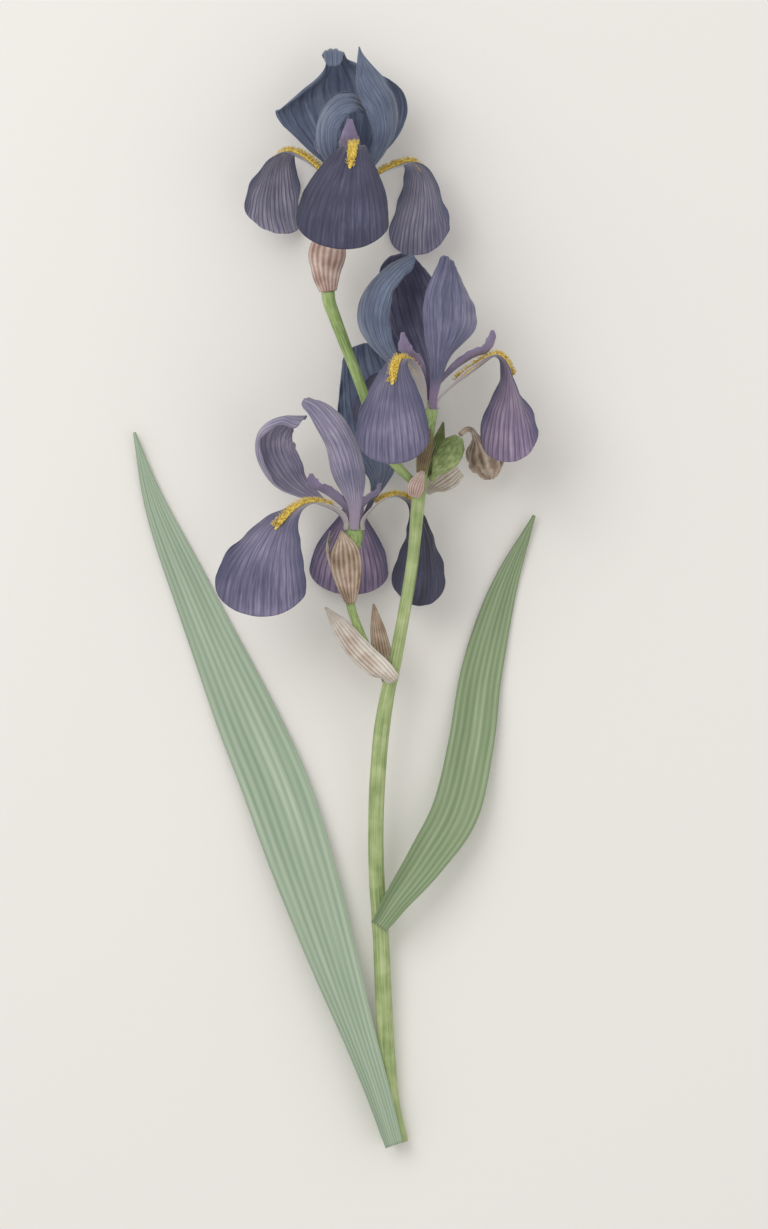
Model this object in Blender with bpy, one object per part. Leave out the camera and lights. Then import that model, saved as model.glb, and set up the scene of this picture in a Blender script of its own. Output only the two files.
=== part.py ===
"""A cut stem of bearded iris with three open flowers, lying on its side on a flat surface.

Sizes are in millimetres and are turned to metres as each mesh is made. X runs across the stem, Y from the
cut end to the top flower and Z up from the surface. Every petal, leaf and bract is a thin sheet laid along a
curved midrib; every stem, tube and capsule is a round section swept along a line.
"""

import math

import bmesh
import bpy
import numpy as np

MM = 0.001
PETAL_THICK = 0.9
LEAF_THICK = 1.5
BRACT_THICK = 0.7
THROAT_RADIUS = 5.0
SEAT_GAP = 0.35
FALL_ROWS = 12
MIDRIB_SAMPLES = 160
SECTION_SAMPLES = 24

# Moves the bottom centre of the whole stem's box to the origin.
TO_ORIGIN = (0.723, 0.402, -1.055)

# Where the petals of each flower join their tube.
TOP_FLOWER = (8.0, 223.0, 46.0)
RIGHT_FLOWER = (51.0, 108.0, 60.0)
LEFT_FLOWER = (10.5, 42.0, 40.0)

# How far a style arm reaches out and rises, step by step, from the throat to the tip of its crest.
STYLE_STEPS = ((3.5, 7.0), (9.5, 16.0), (17.0, 23.5), (23.5, 27.5), (26.0, 33.0), (26.5, 39.0))

# Colour, roughness.
FINISHES = {
    "petal": ((0.11, 0.11, 0.21), 0.5),
    "fall": ((0.09, 0.08, 0.17), 0.5),
    "style": ((0.24, 0.20, 0.32), 0.5),
    "beard": ((0.62, 0.46, 0.06), 0.9),
    "stem": ((0.33, 0.42, 0.18), 0.5),
    "leaf": ((0.25, 0.38, 0.22), 0.5),
    "bract": ((0.50, 0.38, 0.27), 0.8),
    "capsule": ((0.21, 0.33, 0.11), 0.4),
}


def clear_scene():
    for obj in list(bpy.data.objects):
        bpy.data.objects.remove(obj, do_unlink=True)


def finish(name):
    """The material of that name, made once."""
    made = bpy.data.materials.get(name)
    if made is None:
        colour, roughness = FINISHES[name]
        made = bpy.data.materials.new(name)
        made.use_nodes = True
        shader = made.node_tree.nodes["Principled BSDF"]
        shader.inputs["Base Color"].default_value = (*colour, 1.0)
        shader.inputs["Roughness"].default_value = roughness
        shader.inputs["Metallic"].default_value = 0.0
    return made


def add_object(name, bm, material):
    """A smooth-shaded object from a bmesh in millimetres."""
    bmesh.ops.translate(bm, vec=TO_ORIGIN, verts=bm.verts)
    bmesh.ops.scale(bm, vec=(MM, MM, MM), verts=bm.verts)
    mesh = bpy.data.meshes.new(name)
    bm.to_mesh(mesh)
    bm.free()
    mesh.materials.append(finish(material))
    mesh.shade_smooth()
    obj = bpy.data.objects.new(name, mesh)
    bpy.context.scene.collection.objects.link(obj)
    return obj


def smooth(x):
    x = np.clip(x, 0.0, 1.0)
    return x * x * (3.0 - 2.0 * x)


def spread(values, at):
    """The values, spread evenly over 0 to 1, read at the places given."""
    values = np.atleast_1d(np.asarray(values, float))
    return np.interp(at, np.linspace(0.0, 1.0, len(values)), values)


def curve_through(points, samples=MIDRIB_SAMPLES):
    """Evenly spaced points of one smooth curve through the given ones."""
    p = np.asarray(points, float)
    p = np.vstack([2 * p[0] - p[1], p, 2 * p[-1] - p[-2]])
    u = np.linspace(0.0, 1.0, 24, endpoint=False)[:, None]
    runs = []
    for a, b, c, d in zip(p, p[1:], p[2:], p[3:]):
        runs.append(
            0.5 * (2 * b + (c - a) * u + (2 * a - 5 * b + 4 * c - d) * u**2 + (3 * b - a - 3 * c + d) * u**3)
        )
    line = np.vstack(runs + [p[-2][None]])
    along = np.concatenate([[0.0], np.cumsum(np.linalg.norm(np.diff(line, axis=0), axis=1))])
    even = np.linspace(0.0, along[-1], samples)
    return np.stack([np.interp(even, along, line[:, k]) for k in range(3)], axis=1)


def unit(v):
    return v / np.linalg.norm(v, axis=1, keepdims=True)


def curve_values(values):
    """One smooth curve through single values that are evenly spaced, at even steps."""
    line = curve_through([(k, v, 0.0) for k, v in enumerate(values)])
    return np.interp(np.linspace(0.0, len(values) - 1.0, MIDRIB_SAMPLES), line[:, 0], line[:, 1])


def across_of(turn):
    """The direction across a petal, from how far round its flower it faces (0 is up), or as it is given."""
    if isinstance(turn, tuple):
        return turn
    a = math.radians(turn)
    return (math.cos(a), 0.0, -math.sin(a))


def outward(degrees):
    """The direction away from a flower's axis, that far round it."""
    a = math.radians(degrees)
    return np.array([math.sin(a), 0.0, math.cos(a)])


def section(reach, cup, roll):
    """How far across and how far inward a sheet bends, at a share of its half width, for each row."""
    x = np.linspace(0.0, 1.0, SECTION_SAMPLES)
    across, inward = np.empty_like(reach), np.empty_like(reach)
    for row in range(len(cup)):
        angle = cup[row] * x + roll[row] * x**3
        mid = (angle[1:] + angle[:-1]) / 2
        step = x[1]
        b = np.concatenate([[0.0], np.cumsum(np.cos(mid) * step)])
        n = np.concatenate([[0.0], np.cumsum(np.sin(mid) * step)])
        across[row] = np.interp(reach[row], x, b)
        inward[row] = np.interp(reach[row], x, n)
    return across, inward


class Sheet:
    """The middle surface of a petal, leaf or bract, over q from -1 to 1 across and t from 0 to 1 along."""

    def __init__(self, midrib, turn, half, lag=0.0, cup=(0.0,), roll=(0.0, 0.0), ruffle=0.0, waves=3.0):
        self.line = curve_through(midrib)
        tangent = unit(np.gradient(self.line, axis=0))
        self.at = np.linspace(0.0, 1.0, len(self.line))
        hints = np.array([across_of(t) for t in (turn if isinstance(turn, tuple) else (turn,))], float)
        hint = np.stack([spread(hints[:, k], self.at) for k in range(3)], axis=1)
        self.inner = unit(np.cross(tangent, hint))
        self.across = np.cross(self.inner, tangent)
        left, right = half if isinstance(half[0], tuple) else (half, half)
        self.half = {-1: curve_values(left), 1: curve_values(right)}
        self.lag, self.cup, self.roll = lag, cup, roll
        self.ruffle, self.waves = ruffle, waves

    def frame(self, t):
        """Points on the midrib, with the directions across and inward there."""
        return [np.stack([np.interp(t, self.at, v[:, k]) for k in range(3)], axis=-1)
                for v in (self.line, self.across, self.inner)]

    def points(self, columns, rows):
        """A grid of points, one row for each step along the midrib."""
        q, t = np.meshgrid(np.linspace(-1, 1, columns), np.linspace(0, 1, rows))
        s = np.sin(q * math.pi / 2) if self.lag else q
        lag = self.lag * (1 - np.cos(q * math.pi / 2)) * smooth(t * 1.25 - 0.25)
        middle, across, inner = self.frame(t - lag)
        cup = np.radians(spread(self.cup, t[:, 0]))
        b, n = np.zeros_like(s), np.zeros_like(s)
        for side, rolled in zip((-1, 1), self.roll):
            here = np.sign(q[0]) == side
            roll = np.radians(rolled) * smooth(t[:, 0] * 1.6 - 0.3)
            wide = spread(self.half[side], t[:, here])
            bent = section(np.abs(s[:, here]), cup, roll)
            b[:, here] = side * bent[0] * wide
            n[:, here] = bent[1] * wide
        wave = np.sin(2 * math.pi * self.waves * t + 1.3 * np.sign(q))
        n += self.ruffle * np.abs(q) ** 3 * smooth(t * 1.5 - 0.4) * wave
        return middle + across * b[..., None] + inner * n[..., None]


def add_sheet(name, sheet, material, thick, cells=(6, 10)):
    """A closed solid of that thickness about the sheet's middle surface."""
    columns, rows = cells[0] + 1, cells[1] + 1
    grid = sheet.points(columns, rows)
    bm = bmesh.new()
    bmesh.ops.create_grid(bm, x_segments=cells[0], y_segments=cells[1], size=1.0)
    for vert in bm.verts:
        column = round((vert.co.x + 1) / 2 * cells[0])
        row = round((vert.co.y + 1) / 2 * cells[1])
        vert.co = grid[row, column]
    obj = add_object(name, bm, material)
    solidify = obj.modifiers.new("thickness", "SOLIDIFY")
    solidify.thickness = thick * MM
    solidify.offset = 0.0
    return obj


def add_round(name, line, radii, material, sides=10, rings=16, squash=1.0, lobes=0, depth=0.0, up=None):
    """A closed round section swept along a line; radii are spread evenly along it, rings=0 keeps its points."""
    path = curve_through(line) if rings else np.asarray(line, float)
    rings = rings or len(path)
    at = np.linspace(0.0, 1.0, len(path))
    t = np.linspace(0.0, 1.0, rings)
    middle = np.stack([np.interp(t, at, path[:, k]) for k in range(3)], axis=1)
    tangent = unit(np.gradient(middle, axis=0))
    side = unit(np.cross(tangent, np.tile([0.0, 0.0, 1.0], (rings, 1)) if up is None else up))
    top = np.cross(side, tangent)
    radius = spread(radii, t)
    bm = bmesh.new()
    bmesh.ops.create_grid(bm, x_segments=sides, y_segments=rings - 1, size=1.0)
    for vert in bm.verts:
        angle = math.pi * (vert.co.x + 1)
        row = round((vert.co.y + 1) / 2 * (rings - 1))
        reach = radius[row] * (1 + depth * math.cos(lobes * angle))
        vert.co = middle[row] + reach * (side[row] * math.cos(angle) + top[row] * math.sin(angle) * squash)
    bmesh.ops.remove_doubles(bm, verts=bm.verts, dist=0.01)
    bmesh.ops.holes_fill(bm, edges=[e for e in bm.edges if e.is_boundary])
    bmesh.ops.recalc_face_normals(bm, faces=bm.faces)
    return add_object(name, bm, material)


# ---------------------------------------------------------------- stems and leaves

def add_stems():
    add_round("main_stem",
              [(35.0, -301.5, 6.0), (30.0, -276.0, 6.5), (27.0, -232.0, 8.5), (25.0, -187.0, 11.5),
               (22.5, -150.0, 15.0), (22.5, -114.0, 19.0), (25.0, -77.0, 24.5), (29.0, -51.0, 29.5),
               (32.0, -39.0, 32.0), (38.5, -4.0, 38.5), (42.5, 21.0, 43.0), (45.0, 48.0, 46.2),
               (46.1, 60.0, 47.1)],
              (5.2, 4.9, 4.7, 4.6, 4.4, 4.3, 4.4, 4.4, 3.6, 3.4, 3.3, 3.9), "stem", rings=26)
    add_round("top_branch",
              [(43.9, 61.8, 46.9), (41.4, 65.2, 47.0), (36.0, 70.5, 47.5), (29.0, 79.0, 47.5),
               (21.5, 95.0, 47.0), (15.0, 114.0, 46.5),
               (9.0, 130.0, 46.0), (4.0, 143.0, 45.5), (-0.5, 155.0, 45.0), (-3.2, 162.5, 45.0),
               (-3.9, 166.6, 45.0)],
              (2.0, 2.8, 2.8, 2.8, 2.9, 3.0, 3.3, 3.7), "stem", rings=16)
    add_round("right_flower_stalk",
              [(48.2, 60.9, 47.6), (48.3, 68.0, 49.4), (49.2, 80.0, 52.3)], (1.9, 2.6, 2.7, 2.8),
               "stem", rings=6)
    add_round("left_flower_stalk",
              [(25.6, -42.0, 32.0), (22.0, -35.0, 33.0), (15.0, -22.0, 35.0), (9.5, -8.0, 36.5),
               (7.5, 2.0, 37.3)],
              (2.2, 2.3, 2.4, 2.4, 2.5), "stem", rings=9)


def add_leaves():
    add_sheet("basal_leaf", Sheet(
        [(32.0, -302.5, 13.4), (22.0, -270.0, 14.8), (2.5, -212.0, 12.5), (-16.0, -155.0, 8.5),
         (-33.0, -105.0, 5.0), (-52.0, -60.0, 2.6), (-78.0, 0.0, 2.0), (-100.0, 52.0, 3.0),
         (-111.5, 92.0, 5.5)],
        turn=(25, 12, 0, 0, 5), half=(5.5, 9.5, 15.0, 18.3, 17.5, 13.0, 8.0, 0.4),
            cup=(-30, -20, -10, -8, -10)),
        "leaf", LEAF_THICK, cells=(6, 18))
    add_sheet("stem_leaf", Sheet(
        [(24.0, -181.0, 17.5), (33.0, -168.0, 19.5), (50.0, -145.0, 17.5), (66.0, -118.0, 12.0),
         (75.0, -80.0, 6.0), (81.0, -40.0, 2.8), (93.0, 5.0, 2.2), (110.0, 46.0, 6.0)],
        turn=(-5, 5, 0, 0), half=(6.0, 11.0, 13.5, 13.0, 12.0, 10.0, 6.0, 0.4), cup=(-75, -30, -14, -10)),
        "leaf", LEAF_THICK, cells=(8, 16))


# ---------------------------------------------------------------- flowers

def add_petal(flower, name, facing, path, turn, half, material="petal", cells=(6, 10), **shape):
    """A petal whose claw stands against the throat; path continues it, measured from the flower's base."""
    base = np.array(flower)
    reach = THROAT_RADIUS + SEAT_GAP + PETAL_THICK / 2
    claw = [outward(facing) * reach + (0.0, h, 0.0) for h in (-4.5, 0.5)]
    midrib = [base + p for p in claw] + [base + np.array(p) for p in path]
    sheet = Sheet(midrib, turn, half, **shape)
    add_sheet(name, sheet, material, PETAL_THICK, cells)
    return sheet


def add_fall(flower, name, facing, path, turn, broad, lag, beard, half_width=2.5, height=1.4):
    """A fall, and the furry strip along the upper side of its midrib between the two rows given."""
    half = (2.2, 3.2, 4.9, 0.32 * broad, 0.62 * broad, 0.88 * broad, broad)
    fall = add_petal(flower, name, facing, path, turn, half, "fall", (6, FALL_ROWS), lag=lag,
                     cup=(20, 6, -10, -14, -10))
    t = np.arange(beard[0], beard[1] + 1) / FALL_ROWS
    line, _, upper = fall.frame(t)
    widths = [half_width] * len(t)
    widths[0], widths[-2], widths[-1] = 0.5 * half_width, 0.8 * half_width, 0.4 * half_width
    lift = PETAL_THICK / 2 + SEAT_GAP + height + 0.3
    add_round(name.replace("fall", "beard"), line + upper * lift, widths, "beard", sides=6, rings=0,
              squash=height / half_width, up=upper)


def add_style(flower, name, facing, reach, rise, turn=None, broad=1.0):
    """One petal-like arm of the style, arching over a fall, with its upturned crest."""
    base = np.array(flower)
    out = outward(facing)
    midrib = [base + out * 1.6 + (0.0, SEAT_GAP, 0.0)] + [base + out * r * reach + (0.0, h * rise, 0.0)
                                                          for r, h in STYLE_STEPS]
    half = (1.2, 2.6, 4.6 * broad, 5.6 * broad, 5.6 * broad, 4.2, 1.2)
    add_sheet(name, Sheet(midrib, turn or facing, half, cup=(20, 40, 45, 40, 20)), "style", PETAL_THICK,
              cells=(4, 7))


def add_top_flower():
    at, tag = TOP_FLOWER, "top_flower_"
    add_fall(at, tag + "fall_front", 0,
             [(0.5, 10, 14), (1.5, 20, 25), (2, 24, 35), (1, 17, 43), (-1.5, 0, 48), (-4, -18, 48),
              (-5, -33, 45)],
             turn=(0, 0, -3), broad=25.5, lag=0.15, beard=(2, 7))
    add_fall(at, tag + "fall_left", -120,
             [(-14, 10, -8), (-24, 19, -14), (-34, 23, -19), (-41, 16, -25), (-44, 1, -29), (-44, -11, -29),
              (-42, -21, -24)],
             turn=(-120, -126, -136), broad=22.5, lag=0.15, beard=(2, 7))
    add_fall(at, tag + "fall_right", 120,
             [(14, 9, -8), (25, 15, -15), (34, 17, -20), (40, 9, -26), (41, -7, -29), (40, -21, -29),
              (40, -33, -27)],
             turn=(120, 126, 136), broad=23.0, lag=0.15, beard=(2, 7))
    add_petal(at, tag + "standard_back", 180,
              [(0, 10, -12), (0, 22, -20), (0, 38, -25), (-1, 54, -23), (-4, 66, -17), (-7, 74, -13),
               (-9, 79, -6),
       (-9, 77, 2), (-9, 69, 4)],
              turn=(180, 180, 180), lag=0.06, cup=(20, 5, 15, 30, 50, 60), cells=(8, 14),
              half=((2.2, 4.0, 13.0, 24.0, 31.0, 33.0, 27.0, 8.5, 7.5, 6.0),
                    (2.2, 4.0, 15.0, 28.0, 38.0, 42.0, 38.0, 10.0, 7.5, 6.0)))
    add_petal(at, tag + "standard_left", -60,
              [(-8, 10, 6), (-15, 24, 11), (-15, 38, 13), (-8, 48, 12), (2, 51, 9), (11, 45, 5)],
              turn=(-60, -60, -50, (0.4, -0.3, 0.8), (0.3, -0.6, 0.7), (0.2, -0.7, 0.7)),
              half=(2.2, 3.6, 7.6, 11.0, 12.5, 11.0, 8.0), lag=0.12, cup=(20, 40, 45, 30))
    add_petal(at, tag + "standard_right", 60,
              [(9, 9, 7), (17, 21, 12), (21, 34, 14), (19, 48, 14), (12, 61, 12), (7, 72, 8), (5, 80, 4)],
              turn=(60, 55, 35, 22, 15), half=(2.2, 3.6, 6.5, 9.5, 11.5, 10.0, 0.6), lag=0.12,
              cup=(20, 40, 50, 40, 30))
    for side, facing, reach, broad in (("front", 0, 1.0, 1.1), ("left", -120, 0.8, 1.0),
                                       ("right", 120, 0.8, 1.0)):
        add_style(at, tag + "style_" + side, facing, reach, reach, broad=broad)


def add_right_flower():
    at, tag = RIGHT_FLOWER, "right_flower_"
    add_fall(at, tag + "fall_left", -30,
             [(-4.5, 10, 12), (-9, 18, 22), (-16, 22, 30), (-19, 13, 37), (-20, -6, 41), (-20, -22, 40),
              (-19.5, -35, 37)],
             turn=(-30, -28, -15, -10), broad=20.5, lag=0.15, beard=(2, 7))
    add_fall(at, tag + "fall_right", 90,
             [(14, 9, 0), (25, 18, -3), (37, 25, -7), (44, 18, -11), (46, 2, -14), (46, -16, -15),
              (46.5, -33, -13)],
             turn=(84, 62, 95, 128, 138), broad=22.0, lag=0.15, beard=(2, 7))
    add_fall(at, tag + "fall_back", -150,
             [(-9, 7, -13), (-15, 14, -20), (-21, 16, -26), (-25, 9, -30), (-26, -5, -31), (-25, -18, -30)],
             turn=(-150, -155, -165), broad=17.0, lag=0.15, beard=(3, 6), half_width=2.0, height=1.0)
    add_petal(at, tag + "standard_left", -90,
              [(-9, 9, 2), (-18, 18, 5), (-29, 31, 8), (-34, 46, 8), (-30, 62, 6), (-19, 74, 3),
               (-8, 80, 0)],
              turn=(-90, -60, -45, -45, -30), half=(2.2, 3.6, 9.0, 14.0, 16.0, 14.0, 9.0), lag=0.1,
              cup=(20, 45, 60, 60))
    add_petal(at, tag + "standard_back", 150,
              [(2, 10, -12), (-1, 26, -21), (-6, 44, -23), (-11, 62, -19), (-14, 75, -12), (-13, 81, -6)],
              turn=(150, 165, 180), half=(2.2, 3.6, 14.0, 23.0, 24.0, 20.0, 14.0), lag=0.1,
                  cup=(20, 15, 40, 50))
    add_petal(at, tag + "standard_right", 30,
              [(4.5, 12, 9), (5, 28, 14), (5, 44, 16), (6, 60, 15), (9, 73, 12), (10, 79, 8)],
              turn=(30, 30, (0.85, -0.35, -0.35), (0.8, -0.5, -0.3), (0.75, -0.55, -0.3)), lag=0.04,
              half=((2.2, 3.6, 5.0, 8.0, 10.0, 8.0, 4.0), (2.2, 3.6, 10.0, 27.0, 30.0, 24.0, 10.0)),
              cup=(20, 30, 30, 30))
    for side, facing, reach, turn in (("left", -34, 0.95, -34), ("right", 97, 1.35, (97, 70, 50, 45)),
                                      ("back", -150, 0.7, -150)):
        add_style(at, tag + "style_" + side, facing, reach, min(reach, 1.0), turn)


def add_left_flower():
    at, tag = LEFT_FLOWER, "left_flower_"
    add_fall(at, tag + "fall_left", -60,
             [(-9, 6, 9), (-20, 10, 18), (-31, 8, 26), (-41, -2, 32), (-48, -18, 36), (-52, -36, 36),
              (-53, -52, 34)],
             turn=(-60, -50, -30, -20, -15), broad=26.0, lag=0.16, beard=(2, 7))
    add_fall(at, tag + "fall_right", 60,
             [(9, 6, 2), (16, 12, -1), (25, 14, -5), (33, 8, -9), (37, -6, -12), (37, -22, -13),
              (36, -38, -13),
              (34, -46, -12)],
             turn=(60, 90, 120, 135, 140), broad=19.0, lag=0.15, beard=(2, 7))
    add_fall(at, tag + "fall_back", 180,
             [(0, 8, -12), (0, 12, -21), (-1, 6, -29), (-2, -8, -33), (-3, -24, -33), (-4, -40, -31)],
             turn=(180,), broad=22.0, lag=0.16, beard=(3, 6), half_width=2.0, height=1.0)
    add_petal(at, tag + "standard_left", -120,
              [(-10, 6, -4), (-22, 12, -5), (-36, 21, -4), (-46, 35, 0), (-47, 48, 4), (-38, 57, 7),
               (-26, 58, 8)],
              turn=(-120, -140, -148, -148, -135), half=(2.2, 4.0, 9.0, 14.0, 16.0, 15.0, 11.0), lag=0.1,
              cup=(20, 35, 45, 45))
    add_petal(at, tag + "standard_front", 0,
              [(0, 14, 10), (-2, 28, 16), (-6, 42, 18), (-13, 54, 18), (-21, 63, 15), (-28, 67, 11)],
              turn=(0, 10, 0, -10), lag=0.1, cup=(20, 40, 50, 45),
              half=((2.2, 4.0, 10.0, 13.0, 13.0, 11.0, 6.0), (2.2, 4.0, 8.0, 9.0, 9.0, 9.0, 6.0)))
    add_petal(at, tag + "standard_back", 120,
              [(9, 10, -6), (16, 26, -16), (16, 48, -26), (13, 70, -29), (8, 88, -27), (6, 99, -23)],
              turn=(120, 130, 160, 170), half=(2.2, 3.2, 11.0, 22.0, 25.0, 22.0, 15.0), lag=0.1,
              cup=(20, 15, 25, 30))
    for side, facing, reach, rise, turn in (("left", -72, 0.95, 0.68, (-72, -50, -35, -30)),
                                            ("right", 68, 0.58, 0.55, 68), ("back", 188, 0.6, 0.55, 188)):
        add_style(at, tag + "style_" + side, facing, reach, rise, turn)


# ---------------------------------------------------------------- tubes, bracts and the capsule

def add_tubes():
    add_round("top_flower_tube",
              [(-4.0, 168.2, 45.0), (-3.0, 177.0, 45.0), (0.0, 188.0, 45.2), (4.5, 202.0, 45.8),
               (7.8, 213.0, 46.0),
               TOP_FLOWER],
              (3.4, 4.3, 4.2, 3.2, 3.2, 3.6, 5.0, 5.0), "stem", rings=12)
    add_round("right_flower_tube",
              [(49.3, 81.5, 52.4), (50.5, 91.0, 56.0), (51.0, 101.0, 59.7), RIGHT_FLOWER],
              (2.9, 3.8, 4.0, 5.0, 5.0), "stem", rings=9)
    add_round("left_flower_tube",
              [(7.6, 2.7, 37.4), (8.2, 15.0, 38.8), (10.2, 33.0, 40.0), LEFT_FLOWER],
              (3.0, 4.6, 4.4, 3.4, 5.0, 5.0), "stem", rings=10)


def add_bracts():
    def bract(name, midrib, turn, half, cup, cells=(6, 7)):
        add_sheet(name, Sheet(midrib, turn, half, cup=cup), "bract", BRACT_THICK, cells)

    bract("top_bract_front",
          [(-3.8, 168.5, 49.3), (-5.0, 178.0, 52.2), (-4.5, 188.0, 53.8), (-2.5, 198.0, 54.0),
           (0.0, 206.0, 53.2)],
          0, (5.0, 9.0, 12.5, 10.0, 0.5), (35, 65, 62, 50))
    bract("top_bract_back",
          [(-4.0, 168.5, 40.7), (-5.0, 178.0, 37.8), (-4.0, 188.0, 36.6), (-1.0, 198.0, 36.8),
           (2.0, 204.0, 37.8)],
          180, (5.0, 9.0, 11.5, 9.0, 0.5), (35, 62, 60, 50))
    bract("left_bract_front",
          [(8.6, -3.0, 40.0), (7.5, 6.0, 44.4), (6.5, 16.0, 47.2), (5.5, 27.0, 48.2), (3.5, 37.0, 47.8)],
          5, (2.8, 7.5, 10.0, 8.5, 0.5), (35, 55, 55, 40))
    bract("left_bract_side",
          [(4.9, -2.0, 35.8), (1.0, 8.0, 35.4), (-3.0, 18.0, 36.0), (-5.0, 27.0, 37.2), (-3.0, 37.0, 38.8)],
          -95, (2.2, 5.5, 7.0, 5.5, 0.5), (15, 40, 40, 30))
    bract("lower_bract_outer",
          [(32.0, -46.0, 37.6), (25.0, -40.0, 42.5), (12.0, -27.0, 43.5), (2.0, -14.0, 42.5),
           (-5.5, -5.0, 40.5)],
          0, (5.0, 8.0, 8.0, 6.0, 0.5), (50, 70, 60, 40))
    bract("lower_bract_inner",
          [(29.8, -45.5, 25.7), (26.5, -34.0, 24.8), (23.5, -18.0, 27.5), (21.0, -3.0, 31.0)],
          180, (4.0, 6.0, 4.5, 0.4), (30, 50, 40))
    bract("middle_bract_left",
          [(43.0, 55.5, 51.3), (44.5, 62.0, 54.0), (48.0, 69.8, 57.2)],
          -10, (3.2, 5.0, 3.5, 1.0), (30, 40, 25))
    bract("middle_bract_right",
          [(49.9, 58.0, 44.7), (55.0, 61.5, 41.6), (61.5, 66.0, 40.6), (68.0, 71.0, 41.5)],
          180, (3.0, 6.0, 7.0, 5.0), (20, 45, 40))
    bract("bronze_bract",
          [(47.4, 68.5, 53.2), (48.8, 77.0, 56.0), (50.8, 86.0, 60.4), (52.2, 92.5, 63.4)],
          0, (3.0, 4.4, 4.0, 0.6), (35, 50, 50))
    bract("green_bract",
          [(48.2, 65.5, 45.1), (52.5, 75.0, 42.5), (57.0, 87.0, 42.0), (59.4, 97.0, 43.0)],
          180, (2.0, 4.2, 3.5, 0.4), (15, 35, 30))


def add_capsule():
    add_round("seed_capsule", [(52.5, 64.8, 48.9), (54.5, 68.0, 50.0), (58.0, 73.5, 51.0),
                               (62.6, 80.0, 52.0), (68.0, 88.5, 53.0)],
              (1.6, 1.8, 4.5, 6.6, 7.2, 7.0, 6.0, 2.6), "capsule", sides=12, rings=14, lobes=3, depth=0.07)
    add_round("withered_flower", [(68.9, 90.2, 53.0), (72.4, 92.7, 49.0), (75.5, 92.0, 40.0),
                                  (78.0, 87.5, 30.0), (81.0, 81.0, 22.5),
                                  (84.0, 74.0, 18.5), (86.0, 66.5, 16.5)],
              (1.6, 1.5, 1.5, 1.6, 2.5, 7.0, 9.0, 8.0, 3.0), "bract", sides=12, rings=18, lobes=5, depth=0.12)


def main():
    clear_scene()
    add_stems()
    add_leaves()
    add_tubes()
    add_bracts()
    add_capsule()
    add_top_flower()
    add_right_flower()
    add_left_flower()


main()
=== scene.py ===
import math

import bmesh
import bpy
import numpy as np
from mathutils import Matrix, Vector, noise


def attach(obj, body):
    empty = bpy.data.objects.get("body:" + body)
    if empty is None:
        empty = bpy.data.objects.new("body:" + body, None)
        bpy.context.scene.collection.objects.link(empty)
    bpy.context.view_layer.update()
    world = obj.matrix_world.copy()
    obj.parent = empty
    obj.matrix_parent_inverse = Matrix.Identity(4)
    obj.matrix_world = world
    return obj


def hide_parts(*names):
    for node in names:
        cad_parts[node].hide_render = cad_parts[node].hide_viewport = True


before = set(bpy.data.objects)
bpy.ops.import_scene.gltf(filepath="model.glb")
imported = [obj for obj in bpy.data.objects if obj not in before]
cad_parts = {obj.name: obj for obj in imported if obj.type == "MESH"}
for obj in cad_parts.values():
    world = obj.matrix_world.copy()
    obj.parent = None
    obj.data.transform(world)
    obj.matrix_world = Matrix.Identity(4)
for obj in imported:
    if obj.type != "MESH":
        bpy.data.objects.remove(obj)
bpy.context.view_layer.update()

# ---------------------------------------------------------------- stems
# The green stem, its branch to the top bloom and the short stalks of the two lower blooms. They are living
# plant tissue, smooth and slightly waxy with faint lengthwise streaks, and grow out of one another.

MM = 0.001
TO_ORIGIN = np.array([0.723, 0.402, -1.055])


def paint(red, green, blue):
    """A colour from 0 to 255 values, as the shader's own light values."""
    values = np.array([red, green, blue]) / 255.0
    return (*np.where(values <= 0.04045, values / 12.92, ((values + 0.055) / 1.055) ** 2.4), 1.0)


def unit(v):
    return v / np.linalg.norm(v, axis=-1, keepdims=True)


def smooth(x):
    x = np.clip(x, 0.0, 1.0)
    return x * x * (3.0 - 2.0 * x)


def spread(values, at):
    """The values, spread evenly over 0 to 1, read at the places given."""
    values = np.asarray(values, float)
    return np.interp(at, np.linspace(0.0, 1.0, len(values)), values)


def curve_through(points, samples=160):
    """Evenly spaced points of one smooth curve through the given ones."""
    p = np.asarray(points, float)
    p = np.vstack([2 * p[0] - p[1], p, 2 * p[-1] - p[-2]])
    u = np.linspace(0.0, 1.0, 24, endpoint=False)[:, None]
    runs = []
    for a, b, c, d in zip(p, p[1:], p[2:], p[3:]):
        bend = (2 * a - 5 * b + 4 * c - d) * u**2 + (3 * b - a - 3 * c + d) * u**3
        runs.append(0.5 * (2 * b + (c - a) * u + bend))
    line = np.vstack(runs + [p[-2][None]])
    along = np.concatenate([[0.0], np.cumsum(np.linalg.norm(np.diff(line, axis=0), axis=1))])
    even = np.linspace(0.0, along[-1], samples)
    return np.stack([np.interp(even, along, line[:, k]) for k in range(3)], axis=1)


def finished(name, bm, material, slot, *nodes):
    """Makes the piece from a bmesh in millimetres, and hides the model parts that it stands in for."""
    bmesh.ops.translate(bm, vec=TO_ORIGIN, verts=bm.verts)
    bmesh.ops.scale(bm, vec=(MM, MM, MM), verts=bm.verts)
    mesh = bpy.data.meshes.new(name)
    bm.to_mesh(mesh)
    bm.free()
    mesh.materials.append(material)
    mesh.shade_smooth()
    piece = bpy.data.objects.new(name, mesh)
    bpy.context.scene.collection.objects.link(piece)
    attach(piece, "root")
    if nodes:
        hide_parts(*nodes)
    return piece


def rough(point, size):
    """Smooth unevenness between -1 and 1 at a place in millimetres."""
    return noise.noise(Vector(point) / size)


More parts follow.
